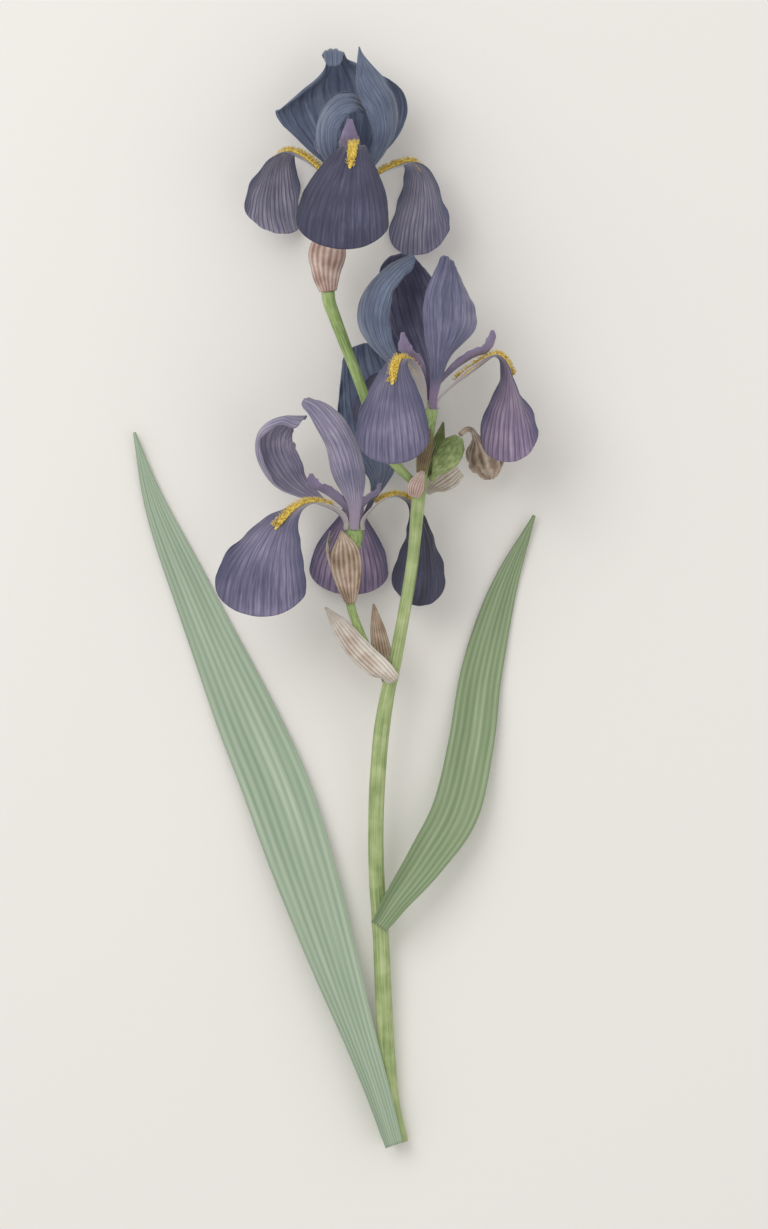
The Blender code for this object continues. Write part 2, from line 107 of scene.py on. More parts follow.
def round_piece(name, line, radii, material, slot, rings, sides=36, shape=None, squash=1.0, up=None):
    """A round section swept along a line and closed at both ends. shape(angle, t) scales the radius, and up
    says which way its top faces, row by row."""
    path = curve_through(line)
    at = np.linspace(0.0, 1.0, len(path))
    t = np.linspace(0.0, 1.0, rings)
    middle = np.stack([np.interp(t, at, path[:, k]) for k in range(3)], axis=1)
    tangent = unit(np.gradient(middle, axis=0))
    if up is None:
        up = np.tile([0.0, 0.0, 1.0], (rings, 1))
    side = unit(np.cross(tangent, up))
    top = np.cross(side, tangent)
    radius = spread(radii, t)
    bm = bmesh.new()
    bm.loops.layers.uv.new("surface")
    bmesh.ops.create_grid(bm, x_segments=sides, y_segments=rings - 1, size=1.0, calc_uvs=True)
    for vert in bm.verts:
        angle = math.pi * (vert.co.x + 1)
        row = round((vert.co.y + 1) / 2 * (rings - 1))
        reach = radius[row] * (shape(angle, t[row]) if shape else 1.0)
        vert.co = middle[row] + reach * (side[row] * math.cos(angle) + top[row] * math.sin(angle) * squash)
    bmesh.ops.remove_doubles(bm, verts=bm.verts, dist=0.01)
    bmesh.ops.holes_fill(bm, edges=[e for e in bm.edges if e.is_boundary])
    bmesh.ops.recalc_face_normals(bm, faces=bm.faces)
    return finished(name, bm, material, slot, name)


def new_material(name, roughness, sheen=0.0):
    """A material and its node tree, with the values that are the same all over it set on the shader."""
    made = bpy.data.materials.new(name)
    made.use_nodes = True
    shader = made.node_tree.nodes["Principled BSDF"]
    shader.inputs["Roughness"].default_value = roughness
    shader.inputs["Specular IOR Level"].default_value = 0.3
    shader.inputs["Sheen Weight"].default_value = sheen
    shader.inputs["Sheen Roughness"].default_value = 0.5
    return made, made.node_tree, shader


def node(tree, kind, **values):
    """A new node, with its settings and its sockets' values given by name."""
    made = tree.nodes.new(kind)
    for key, value in values.items():
        if hasattr(made, key):
            setattr(made, key, value)
        else:
            made.inputs[key.replace("_", " ")].default_value = value
    return made


def stretched(tree, across, along):
    """The piece's own surface coordinates, scaled across and along it."""
    place = node(tree, "ShaderNodeMapping")
    place.inputs["Scale"].default_value = (across, along, 1.0)
    tree.links.new(node(tree, "ShaderNodeUVMap", uv_map="surface").outputs["UV"], place.inputs["Vector"])
    return place.outputs["Vector"]


def ramp(tree, value, stops):
    """Colours along a value from 0 to 1."""
    made = tree.nodes.new("ShaderNodeValToRGB")
    band = made.color_ramp
    while len(band.elements) < len(stops):
        band.elements.new(0.5)
    for element, (place, colour) in zip(band.elements, stops):
        element.position = place
        element.color = colour
    tree.links.new(value, made.inputs["Fac"])
    return made.outputs["Color"]


def mixed(tree, factor, first, second):
    """Two colours mixed; the factor is a number or a socket."""
    made = tree.nodes.new("ShaderNodeMix")
    made.data_type = "RGBA"
    for key, value in ((0, factor), (6, first), (7, second)):
        if isinstance(value, bpy.types.NodeSocket):
            tree.links.new(value, made.inputs[key])
        else:
            made.inputs[key].default_value = value
    return made.outputs[2]


def math_node(tree, operation, first, second):
    made = tree.nodes.new("ShaderNodeMath")
    made.operation = operation
    for key, value in ((0, first), (1, second)):
        if isinstance(value, bpy.types.NodeSocket):
            tree.links.new(value, made.inputs[key])
        else:
            made.inputs[key].default_value = value
    return made.outputs["Value"]


def add_bump(tree, shader, height, strength, distance):
    bump = node(tree, "ShaderNodeBump", Strength=strength, Distance=distance)
    tree.links.new(height, bump.inputs["Height"])
    tree.links.new(bump.outputs["Normal"], shader.inputs["Normal"])


def stem_material(name, light, mid, dark):
    """Green stem: fine streaks along it and soft mottling in paler and darker greens."""
    made, tree, shader = new_material(name, 0.5, 0.05)
    streaks = node(tree, "ShaderNodeTexNoise", Scale=1.0, Detail=5.0)
    tree.links.new(stretched(tree, 26.0, 9.0), streaks.inputs["Vector"])
    mottle = node(tree, "ShaderNodeTexNoise", Scale=90.0, Detail=3.0)
    tree.links.new(node(tree, "ShaderNodeTexCoord").outputs["Object"], mottle.inputs["Vector"])
    blend = mixed(tree, 0.45, streaks.outputs["Fac"], mottle.outputs["Fac"])
    colour = ramp(tree, blend, ((0.34, dark), (0.5, mid), (0.66, light)))
    tree.links.new(colour, shader.inputs["Base Color"])
    add_bump(tree, shader, streaks.outputs["Fac"], 0.25, 0.0006)
    return made


STEM = stem_material("stem_green", paint(190, 200, 150), paint(158, 175, 118), paint(116, 138, 84))
YOUNG_STEM = stem_material("young_stem_green", paint(182, 196, 140), paint(146, 168, 104),
                           paint(102, 128, 74))
STEM_RIBS, RIB_DEPTH = 9, 0.012
SWELLING_AT, SWELLING_LENGTH, SWELLING = 0.335, 0.008, 0.05


def stem_shape(angle, t):
    """Faint lengthwise ribs and a slight swelling where a leaf leaves the stem."""
    ribs = RIB_DEPTH * math.cos(STEM_RIBS * angle)
    return 1.0 + ribs + SWELLING * math.exp(-(((t - SWELLING_AT) / SWELLING_LENGTH) ** 2))


round_piece("main_stem",
            [(35.0, -301.5, 6.0), (30.0, -276.0, 6.5), (27.0, -232.0, 8.5), (25.0, -187.0, 11.5),
             (22.5, -150.0, 15.0), (22.5, -114.0, 19.0), (25.0, -77.0, 24.5), (29.0, -51.0, 29.5),
             (32.0, -39.0, 32.0), (38.5, -4.0, 38.5), (42.5, 21.0, 43.0), (45.0, 48.0, 46.2),
             (46.1, 60.0, 47.1)],
            (5.2, 4.9, 4.7, 4.6, 4.4, 4.3, 4.4, 4.4, 3.6, 3.4, 3.3, 3.9), STEM, "stem", rings=360,
            shape=stem_shape)
round_piece("top_branch",
            [(43.9, 61.8, 46.9), (41.4, 65.2, 47.0), (36.0, 70.5, 47.5), (29.0, 79.0, 47.5),
             (21.5, 95.0, 47.0), (15.0, 114.0, 46.5), (9.0, 130.0, 46.0), (4.0, 143.0, 45.5),
             (-0.5, 155.0, 45.0), (-3.2, 162.5, 45.0), (-4.0, 168.3, 45.0)],
            (2.0, 2.8, 2.8, 2.8, 2.9, 3.0, 3.3, 3.7), YOUNG_STEM, "stem", rings=160)
round_piece("right_flower_stalk",
            [(48.2, 60.9, 47.6), (48.3, 68.0, 49.4), (49.2, 80.0, 52.3)],
            (1.9, 2.6, 2.7, 2.8), YOUNG_STEM, "stem", rings=40)
round_piece("left_flower_stalk",
            [(25.6, -42.0, 32.0), (22.0, -35.0, 33.0), (15.0, -22.0, 35.0), (9.5, -8.0, 36.5),
             (7.5, 2.0, 37.3)],
            (2.2, 2.3, 2.4, 2.4, 2.5), YOUNG_STEM, "stem", rings=60)

# ---------------------------------------------------------------- leaves
# Two sword-shaped leaves, the larger from the foot of the stem and the smaller from part way up. Each is
# one fibrous blade, folded slightly at its base where it clasps the stem, with many parallel ribs.


def curve_values(values):
    """One smooth curve through single values that are evenly spaced, at even steps."""
    line = curve_through([(k, v, 0.0) for k, v in enumerate(values)])
    return np.interp(np.linspace(0.0, len(values) - 1.0, len(line)), line[:, 0], line[:, 1])


def across_of(turn):
    """The direction across a petal, from how far round its flower it faces (0 is up), or as it is given."""
    if isinstance(turn, tuple):
        return turn
    a = math.radians(turn)
    return (math.cos(a), 0.0, -math.sin(a))


BEND_STEPS = 40


def section(reach, cup, roll):
    """How far across and how far inward a sheet bends, at a share of its half width, for each row."""
    x = np.linspace(0.0, 1.0, BEND_STEPS)
    across, inward = np.empty_like(reach), np.empty_like(reach)
    for row in range(len(cup)):
        angle = cup[row] * x + roll[row] * x**4
        mid = (angle[1:] + angle[:-1]) / 2
        b = np.concatenate([[0.0], np.cumsum(np.cos(mid) * x[1])])
        n = np.concatenate([[0.0], np.cumsum(np.sin(mid) * x[1])])
        across[row] = np.interp(reach[row], x, b)
        inward[row] = np.interp(reach[row], x, n)
    return across, inward


class Sheet:
    """The middle surface of a petal, leaf or bract, over q from -1 to 1 across and t from 0 to 1 along.

    lag sets how far the margins trail the midrib, cup and roll bend the sheet and its margins in degrees,
    and ruffle and folds wave it in millimetres."""

    def __init__(self, midrib, turn, half, lag=0.0, cup=(0.0,), roll=(0.0, 0.0), ruffle=0.0, waves=3.0,
                 folds=0.0, seed=0.0):
        self.line = curve_through(midrib)
        tangent = unit(np.gradient(self.line, axis=0))
        self.at = np.linspace(0.0, 1.0, len(self.line))
        hints = np.array([across_of(t) for t in turn], float)
        hint = np.stack([spread(hints[:, k], self.at) for k in range(3)], axis=1)
        self.inner = unit(np.cross(tangent, hint))
        self.across = np.cross(self.inner, tangent)
        left, right = half if isinstance(half[0], tuple) else (half, half)
        self.half = {-1: curve_values(left), 1: curve_values(right)}
        self.lag, self.cup, self.roll = lag, cup, roll
        self.ruffle, self.waves, self.folds, self.seed = ruffle, waves, folds, seed

    def frame(self, t):
        """Points on the midrib, with the directions across and inward there."""
        return [np.stack([np.interp(t, self.at, v[:, k]) for k in range(3)], axis=-1)
                for v in (self.line, self.across, self.inner)]

    def points(self, columns, rows):
        """A grid of points, one row for each step along the midrib."""
        q, t = np.meshgrid(np.linspace(-1, 1, columns), np.linspace(0, 1, rows))
        s = np.sin(q * math.pi / 2) if self.lag else q
        lag = self.lag * (1 - np.cos(q * math.pi / 2)) * smooth(t * 1.25 - 0.25)
        middle, across, inner = self.frame(t - lag)
        cup = np.radians(spread(self.cup, t[:, 0]))
        b, n = np.zeros_like(s), np.zeros_like(s)
        for side, rolled in zip((-1, 1), self.roll):
            here = np.sign(q[0]) == side
            turned = np.radians(rolled) * smooth(t[:, 0] * 1.6 - 0.3)
            wide = spread(self.half[side], t[:, here])
            bent = section(np.abs(s[:, here]), cup, turned)
            b[:, here] = side * bent[0] * wide
            n[:, here] = bent[1] * wide
        phase = self.seed + 1.3 * np.sign(q)
        wave = np.sin(2 * math.pi * self.waves * t + phase)
        wave += 0.45 * np.sin(5.1 * math.pi * self.waves * t + 2.1 * phase)
        n += self.ruffle * np.abs(s) ** 3 * smooth(t * 1.5 - 0.4) * wave
        fold = np.cos(4.5 * math.pi * s + self.seed) * (1 - 0.4 * np.abs(s))
        n += self.folds * smooth(t * 3.0 - 0.3) * fold
        return middle + across * b[..., None] + inner * n[..., None]


def sheet_piece(name, sheet, material, slot, thick, cells):
    """A thin closed piece about the sheet's middle surface."""
    grid = sheet.points(cells[0] + 1, cells[1] + 1)
    bm = bmesh.new()
    bm.loops.layers.uv.new("surface")
    bmesh.ops.create_grid(bm, x_segments=cells[0], y_segments=cells[1], size=1.0, calc_uvs=True)
    for vert in bm.verts:
        column = round((vert.co.x + 1) / 2 * cells[0])
        row = round((vert.co.y + 1) / 2 * cells[1])
        vert.co = grid[row, column]
    piece = finished(name, bm, material, slot, name)
    wall = piece.modifiers.new("thickness", "SOLIDIFY")
    wall.thickness = thick * MM
    wall.offset = 0.0
    return piece


def leaf_material(name, light, mid, dark, ribs):
    """A ribbed leaf: parallel ribs, darker between them, with broad paler and darker areas."""
    made, tree, shader = new_material(name, 0.55, 0.08)
    bands = node(tree, "ShaderNodeTexWave", Scale=1.0, Distortion=0.6, Detail=2.0, Detail_Scale=0.6)
    tree.links.new(stretched(tree, ribs, 0.6), bands.inputs["Vector"])
    fine = node(tree, "ShaderNodeTexNoise", Scale=1.0, Detail=6.0)
    tree.links.new(stretched(tree, 90.0, 5.0), fine.inputs["Vector"])
    wide = node(tree, "ShaderNodeTexNoise", Scale=1.0, Detail=3.0)
    tree.links.new(stretched(tree, 3.5, 3.0), wide.inputs["Vector"])
    value = mixed(tree, 0.68, bands.outputs["Fac"], fine.outputs["Fac"])
    value = mixed(tree, 0.45, value, wide.outputs["Fac"])
    colour = ramp(tree, value, ((0.25, dark), (0.5, mid), (0.74, light)))
    tree.links.new(colour, shader.inputs["Base Color"])
    add_bump(tree, shader, bands.outputs["Fac"], 0.35, 0.0006)
    return made


LEAF = leaf_material("leaf_green", paint(190, 202, 182), paint(160, 178, 154), paint(124, 148, 122), 2.6)
SMALL_LEAF = leaf_material("small_leaf_green", paint(172, 186, 154), paint(138, 157, 120),
                           paint(104, 126, 86), 2.2)
LEAF_THICK = 1.0

sheet_piece("basal_leaf", Sheet(
    [(32.0, -302.5, 13.4), (22.0, -270.0, 14.8), (2.5, -212.0, 12.5), (-16.0, -155.0, 8.5),
     (-33.0, -105.0, 5.0), (-52.0, -60.0, 2.6), (-78.0, 0.0, 2.0), (-100.0, 52.0, 3.0),
     (-111.5, 92.0, 5.5)],
    turn=(25, 12, 0, 0, 5), half=(5.5, 9.5, 15.0, 18.3, 17.5, 13.0, 8.0, 0.4), cup=(-30, -20, -10, -8, -10),
    folds=0.16), LEAF, "leaf", LEAF_THICK, (60, 220))
sheet_piece("stem_leaf", Sheet(
    [(24.0, -181.0, 17.5), (33.0, -168.0, 19.5), (50.0, -145.0, 17.5), (66.0, -118.0, 12.0),
     (75.0, -80.0, 6.0), (81.0, -40.0, 2.8), (93.0, 5.0, 2.2), (110.0, 46.0, 6.0)],
    turn=(-5, 5, 0, 0), half=(6.0, 11.0, 13.5, 13.0, 12.0, 10.0, 6.0, 0.4), cup=(-75, -30, -14, -10),
    folds=0.16), SMALL_LEAF, "leaf", LEAF_THICK, (60, 160))

# ---------------------------------------------------------------- bracts
# Papery sheaths that once held the buds. Most have dried to thin pale brown paper with fine veins and wavy
# margins, and two small ones are still green or bronze. Each clasps a stalk at its foot.


def bract_material(name, light, mid, dark, veins=2.2):
    """Dry papery bract: fine darker veins along it and brown patches."""
    made, tree, shader = new_material(name, 0.75, 0.15)
    bands = node(tree, "ShaderNodeTexWave", Scale=1.0, Distortion=1.8, Detail=3.0, Detail_Scale=1.2)
    tree.links.new(stretched(tree, veins, 0.9), bands.inputs["Vector"])
    patches = node(tree, "ShaderNodeTexNoise", Scale=110.0, Detail=4.0)
    tree.links.new(node(tree, "ShaderNodeTexCoord").outputs["Object"], patches.inputs["Vector"])
    value = mixed(tree, 0.78, bands.outputs["Fac"], patches.outputs["Fac"])
    colour = ramp(tree, value, ((0.3, dark), (0.5, mid), (0.68, light)))
    tree.links.new(colour, shader.inputs["Base Color"])
    add_bump(tree, shader, bands.outputs["Fac"], 0.4, 0.0005)
    return made


BROWN_BRACT = bract_material("brown_bract", paint(206, 186, 168), paint(172, 148, 128), paint(126, 102, 84))
PALE_BRACT = bract_material("pale_bract", paint(228, 222, 212), paint(206, 194, 182), paint(170, 150, 134))
ROSY_BRACT = bract_material("rosy_bract", paint(220, 200, 190), paint(188, 160, 148), paint(146, 116, 106))
GREEN_BRACT = bract_material("green_bract", paint(158, 168, 112), paint(122, 134, 84), paint(92, 98, 60))
BRONZE_BRACT = bract_material("bronze_bract", paint(150, 140, 100), paint(122, 106, 78), paint(94, 74, 56))
BRACT_THICK = 0.35
BRACT_CELLS = (32, 48)


def bract(name, material, midrib, turn, half, cup, seed, ruffle=0.5):
    sheet = Sheet(midrib, turn, half, cup=cup, ruffle=ruffle, waves=3.4, folds=0.12, seed=seed)
    sheet_piece(name, sheet, material, "bract", BRACT_THICK, BRACT_CELLS)


bract("top_bract_front", ROSY_BRACT,
      [(-3.8, 168.5, 49.3), (-5.0, 178.0, 52.2), (-4.5, 188.0, 53.8), (-2.5, 198.0, 54.0),
       (0.0, 206.0, 53.2)],
      (0,), (5.0, 9.0, 12.5, 10.0, 0.5), (35, 65, 62, 50), seed=0.7)
bract("top_bract_back", PALE_BRACT,
      [(-4.0, 168.5, 40.7), (-5.0, 178.0, 37.8), (-4.0, 188.0, 36.6), (-1.0, 198.0, 36.8),
       (2.0, 204.0, 37.8)],
      (180,), (5.0, 9.0, 11.5, 9.0, 0.5), (35, 62, 60, 50), seed=2.0)
bract("left_bract_front", BROWN_BRACT,
      [(8.6, -3.0, 40.0), (7.5, 6.0, 44.4), (6.5, 16.0, 47.2), (5.5, 27.0, 48.2), (3.5, 37.0, 47.8)],
      (5,), (2.8, 7.5, 10.0, 8.5, 0.5), (35, 55, 55, 40), seed=1.1)
bract("left_bract_side", PALE_BRACT,
      [(4.9, -2.0, 35.8), (1.0, 8.0, 35.4), (-3.0, 18.0, 36.0), (-5.0, 27.0, 37.2), (-3.0, 37.0, 38.8)],
      (-95,), (2.2, 5.5, 7.0, 5.5, 0.5), (15, 40, 40, 30), seed=2.8)
bract("lower_bract_outer", PALE_BRACT,
      [(32.0, -46.0, 37.6), (25.0, -40.0, 42.5), (12.0, -27.0, 43.5), (2.0, -14.0, 42.5),
       (-5.5, -5.0, 40.5)],
      (0,), (5.0, 8.0, 8.0, 6.0, 0.5), (50, 70, 60, 40), ruffle=0.35, seed=0.3)
bract("lower_bract_inner", BROWN_BRACT,
      [(29.8, -45.5, 25.7), (26.5, -34.0, 24.8), (23.5, -18.0, 27.5), (21.0, -3.0, 31.0)],
      (180,), (4.0, 6.0, 4.5, 0.4), (30, 50, 40), ruffle=0.3, seed=3.3)
bract("middle_bract_left", ROSY_BRACT,
      [(43.0, 55.5, 51.3), (44.5, 62.0, 54.0), (48.0, 69.8, 57.2)],
      (-10,), (3.2, 5.0, 3.5, 1.0), (30, 40, 25), ruffle=0.4, seed=4.0)
bract("middle_bract_right", PALE_BRACT,
      [(49.9, 58.0, 44.7), (55.0, 61.5, 41.6), (61.5, 66.0, 40.6), (68.0, 71.0, 41.5)],
      (180,), (3.0, 6.0, 7.0, 5.0), (20, 45, 40), ruffle=0.8, seed=5.0)
bract("bronze_bract", BRONZE_BRACT,
      [(47.4, 68.5, 53.2), (48.8, 77.0, 56.0), (50.8, 86.0, 60.4), (52.2, 92.5, 63.4)],
      (0,), (3.0, 4.4, 4.0, 0.6), (35, 50, 50), ruffle=0.2, seed=1.5)
bract("green_bract", GREEN_BRACT,
      [(48.2, 65.5, 45.1), (52.5, 75.0, 42.5), (57.0, 87.0, 42.0), (59.4, 97.0, 43.0)],
      (180,), (2.0, 4.2, 3.5, 0.4), (15, 35, 30), ruffle=0.15, seed=2.2)

# ---------------------------------------------------------------- seed capsule and withered bloom
# A young seed capsule with three rounded lobes, still green, and the dried tube and crumpled petals of the
# bloom that it grew from, which hang from its tip.

CAPSULE = stem_material("capsule_green", paint(176, 188, 132), paint(136, 152, 96), paint(98, 116, 66))
DRY_PETAL = bract_material("dry_petal", paint(206, 192, 176), paint(172, 154, 136), paint(120, 100, 86),
                           3.0)


def capsule_shape(angle, t):
    """Three lobes with a groove between each two, deepest at the middle."""
    return 1.0 + 0.09 * math.sin(math.pi * t) * (abs(math.cos(1.5 * angle)) ** 0.6 * 2 - 1)


def crumpled(angle, t):
    """The folds of dried petals, deeper towards the far end."""
    deep = 0.05 + 0.22 * float(smooth((t - 0.5) / 0.3))
    fold = math.sin(7 * angle + 6 * t) + 0.6 * math.sin(11 * angle - 19 * t)
    dents = rough((math.cos(angle) * 3, math.sin(angle) * 3, t * 16), 1.4)
    return 1.0 + deep * 0.6 * fold + 0.8 * deep * dents


round_piece("seed_capsule",
            [(52.5, 64.8, 48.9), (54.5, 68.0, 50.0), (58.0, 73.5, 51.0), (62.6, 80.0, 52.0),
             (68.0, 88.5, 53.0)],
            (1.6, 1.8, 4.5, 6.6, 7.2, 7.0, 6.0, 2.6), CAPSULE, "capsule", sides=72, rings=90,
            shape=capsule_shape)
round_piece("withered_flower",
            [(68.9, 90.2, 53.0), (72.4, 92.7, 49.0), (75.5, 92.0, 40.0), (78.0, 87.5, 30.0),
             (81.0, 81.0, 22.5), (84.0, 74.0, 18.5), (86.0, 66.5, 16.5)],
            (1.6, 1.5, 1.5, 1.6, 2.5, 7.0, 9.0, 8.0, 3.0), DRY_PETAL, "bract", sides=96, rings=170,
            shape=crumpled)

# ---------------------------------------------------------------- flower tubes
# The green ovary below each bloom and the tube above it, which widens into the throat that carries the
# petals. Each is fleshy living tissue with three faint ridges, and stands on its stalk.


def tube_shape(angle, _):
    """Three faint ridges."""
    return 1.0 + 0.03 * math.cos(3 * angle)


round_piece("top_flower_tube",
            [(-4.0, 168.2, 45.0), (-3.0, 177.0, 45.0), (0.0, 188.0, 45.2), (4.5, 202.0, 45.8),
             (7.8, 213.0, 46.0), (8.0, 223.0, 46.0)],
            (3.4, 4.3, 4.2, 3.2, 3.2, 3.6, 5.0, 5.0), YOUNG_STEM, "stem", rings=80, shape=tube_shape)
round_piece("right_flower_tube",
            [(49.3, 81.5, 52.4), (50.5, 91.0, 56.0), (51.0, 101.0, 59.7), (51.0, 108.0, 60.0)],
            (2.9, 3.8, 4.0, 5.0, 5.0), YOUNG_STEM, "stem", rings=60, shape=tube_shape)
round_piece("left_flower_tube",
            [(7.6, 2.7, 37.4), (8.2, 15.0, 38.8), (10.2, 33.0, 40.0), (10.5, 42.0, 40.0)],
            (3.0, 4.6, 4.4, 3.4, 5.0, 5.0), YOUNG_STEM, "stem", rings=70, shape=tube_shape)

# ---------------------------------------------------------------- top bloom
# Three falls that arch out and hang, three upright standards, and three petal-like style arms over the
# falls. Petals are thin velvety tissue with fine veins, and each fall carries a beard of short yellow hairs.

THROAT_REACH = 5.8
CLAW_HEIGHTS = (-4.5, 0.5)
PETAL_THICK = 0.45
PETAL_CELLS = (64, 96)
BLACK, WHITE = (0, 0, 0, 1), (1, 1, 1, 1)


def outward(degrees):
    """The direction away from a flower's axis, that far round it."""
    a = math.radians(degrees)
    return np.array([math.sin(a), 0.0, math.cos(a)])


def petal_material(name, light, mid, dark, claw, vein, claw_end=0.3, veins=5.0, edge=None,
                   strength=0.4):
    """Petal tissue: fine veins that fan out from the claw, soft mottling, a claw of its own colour and, on
    a fall, a deeper margin."""
    made, tree, shader = new_material(name, 0.62, 0.25)
    fan = node(tree, "ShaderNodeTexWave", Scale=1.0, Distortion=1.1, Detail=3.0, Detail_Scale=1.6)
    tree.links.new(stretched(tree, veins, 0.9), fan.inputs["Vector"])
    fine = node(tree, "ShaderNodeTexNoise", Scale=1.0, Detail=5.0)
    tree.links.new(stretched(tree, 70.0, 7.0), fine.inputs["Vector"])
    clouds = node(tree, "ShaderNodeTexNoise", Scale=42.0, Detail=3.0)
    tree.links.new(node(tree, "ShaderNodeTexCoord").outputs["Object"], clouds.inputs["Vector"])
    ground = mixed(tree, 0.45, fine.outputs["Fac"], clouds.outputs["Fac"])
    colour = ramp(tree, ground, ((0.34, dark), (0.5, mid), (0.66, light)))
    apart = node(tree, "ShaderNodeSeparateXYZ")
    tree.links.new(node(tree, "ShaderNodeUVMap", uv_map="surface").outputs["UV"], apart.inputs["Vector"])
    middle = math_node(tree, "ABSOLUTE", math_node(tree, "SUBTRACT", apart.outputs["X"], 0.5), 0.0)
    if edge:
        share = ramp(tree, middle, ((0.22, BLACK), (0.5, WHITE)))
        colour = mixed(tree, share, colour, edge)
    along = ramp(tree, apart.outputs["Y"], ((claw_end * 0.75, WHITE), (claw_end * 1.5, BLACK)))
    colour = mixed(tree, along, colour, claw)
    lines = ramp(tree, fan.outputs["Fac"], ((0.62, BLACK), (0.95, (strength, strength, strength, 1))))
    colour = mixed(tree, lines, colour, vein)
    tree.links.new(colour, shader.inputs["Base Color"])
    add_bump(tree, shader, mixed(tree, 0.35, fan.outputs["Fac"], fine.outputs["Fac"]), 0.45, 0.0006)
    return made


def petal(flower, name, material, facing, path, turn, half, slot="petal", **shape):
    """A petal whose claw stands against the throat; path continues it, measured from the flower's base."""
    base = np.array(flower)
    claw = [outward(facing) * THROAT_REACH + (0.0, h, 0.0) for h in CLAW_HEIGHTS]
    midrib = [base + p for p in claw] + [base + np.array(p) for p in path]
    sheet = Sheet(midrib, turn, half, **shape)
    sheet_piece(name, sheet, material, slot, PETAL_THICK, PETAL_CELLS)
    return sheet


def beard_material():
    """Beard hairs: golden yellow, browner in places."""
    made, tree, shader = new_material("beard_gold", 0.8, 0.3)
    spots = node(tree, "ShaderNodeTexNoise", Scale=900.0, Detail=2.0)
    tree.links.new(node(tree, "ShaderNodeTexCoord").outputs["Object"], spots.inputs["Vector"])
    colour = ramp(tree, spots.outputs["Fac"],
                  ((0.3, paint(150, 112, 40)), (0.42, paint(214, 180, 60)), (0.6, paint(240, 216, 110))))
    tree.links.new(colour, shader.inputs["Base Color"])
    return made


BEARD = beard_material()
BEARD_HEIGHT = 1.1
BEARD_LIFT = 0.25 + BEARD_HEIGHT * 0.6
HAIRS = 300
HAIR_LENGTHS = (1.6, 2.8)
HAIR_ROOT, HAIR_TIP = 0.24, 0.07
hair_dice = np.random.default_rng(11)


def beard_piece(name, fall, start, end, half_width):
    """The furry strip along the upper side of a fall's midrib, and its standing hairs."""
    t = np.linspace(start, end, 28)
    line, _, upper = fall.frame(t)
    taper = np.minimum(1.0, np.minimum((t - start) / 0.05, (end - t) / 0.09) + 0.25)
    round_piece(name, line + upper * BEARD_LIFT, half_width * taper, BEARD, "beard", sides=20, rings=56,
                squash=BEARD_HEIGHT / half_width, up=curve_through(upper, 56),
                shape=lambda angle, at: 1.0 + 0.1 * math.sin(9 * angle + 60 * at))
    bm = bmesh.new()
    middle, across, inner = fall.frame(hair_dice.uniform(start + 0.01, end - 0.01, HAIRS))
    for point, side, rise in zip(middle, across, inner):
        ahead = np.cross(side, rise)
        reach = hair_dice.uniform(-1, 1)
        lean = rise + 0.6 * reach * side + hair_dice.uniform(-0.5, 0.1) * ahead
        lean = lean + hair_dice.normal(0, 0.15, 3)
        crown = BEARD_LIFT + BEARD_HEIGHT * 0.5 * math.sqrt(1 - reach**2)
        root = point + side * reach * half_width * 0.85 + rise * crown
        length = hair_dice.uniform(*HAIR_LENGTHS)
        turn = Vector(lean).to_track_quat("Z", "Y").to_matrix().to_4x4()
        place = Matrix.Translation(Vector(root + unit(lean) * length / 2)) @ turn
        bmesh.ops.create_cone(bm, segments=4, radius1=HAIR_ROOT, radius2=HAIR_TIP, depth=length,
                              cap_ends=True, matrix=place)
    finished(name + "_hairs", bm, BEARD, "beard")


def fall_piece(flower, name, material, facing, path, turn, broad, lag=0.15, beard=(0.17, 0.58),
               beard_half=2.5, **shape):
    """A fall, and its beard from one share of its length to another."""
    half = (2.2, 3.2, 4.9, 0.32 * broad, 0.62 * broad, 0.88 * broad, broad)
    fall = petal(flower, name, material, facing, path, turn, half, "fall", lag=lag,
                 cup=(20, 6, -10, -14, -10), **shape)
    beard_piece(name.replace("fall", "beard"), fall, *beard, beard_half)


# How far out from the flower's axis and how far up each step of a style arm is.
STYLE_STEPS = ((3.5, 7.0), (9.5, 16.0), (17.0, 23.5), (23.5, 27.5), (26.0, 33.0), (26.5, 39.0))
STYLE_CELLS = (32, 64)


def style_piece(flower, name, facing, reach, rise, turn=None, broad=1.0):
    """One petal-like arm of the style, arching over a fall, with its upturned crest."""
    base = np.array(flower)
    out = outward(facing)
    midrib = [base + out * 1.6 + (0.0, 0.35, 0.0)]
    midrib += [base + out * r * reach + (0.0, h * rise, 0.0) for r, h in STYLE_STEPS]
    half = (1.2, 2.6, 4.6 * broad, 5.6 * broad, 5.6 * broad, 4.2, 1.2)
    sheet = Sheet(midrib, turn or (facing,), half, cup=(20, 40, 45, 40, 20), ruffle=0.7, waves=4.0,
                  seed=facing * 0.05)
    sheet_piece(name, sheet, STYLE_LILAC, "style", PETAL_THICK, STYLE_CELLS)


SLATE_PETAL = petal_material("slate_petal", paint(128, 140, 160), paint(96, 107, 130), paint(66, 74, 98),
                             paint(120, 112, 134), paint(56, 60, 86), claw_end=0.12)
DARK_FALL = petal_material("dark_fall", paint(98, 98, 122), paint(72, 72, 94), paint(52, 52, 72),
                           paint(198, 190, 186), paint(52, 44, 72), edge=paint(60, 62, 80))
PALE_REVERSE = petal_material("pale_reverse", paint(196, 190, 206), paint(150, 146, 168),
                              paint(100, 102, 128), paint(214, 208, 206), paint(84, 82, 112),
                              claw_end=0.32, veins=6.0, edge=paint(84, 90, 114), strength=0.7)
STYLE_LILAC = petal_material("style_lilac", paint(170, 158, 184), paint(136, 124, 154),
                             paint(104, 92, 126), paint(150, 130, 156), paint(98, 82, 120),
                             claw_end=0.1, veins=4.0)

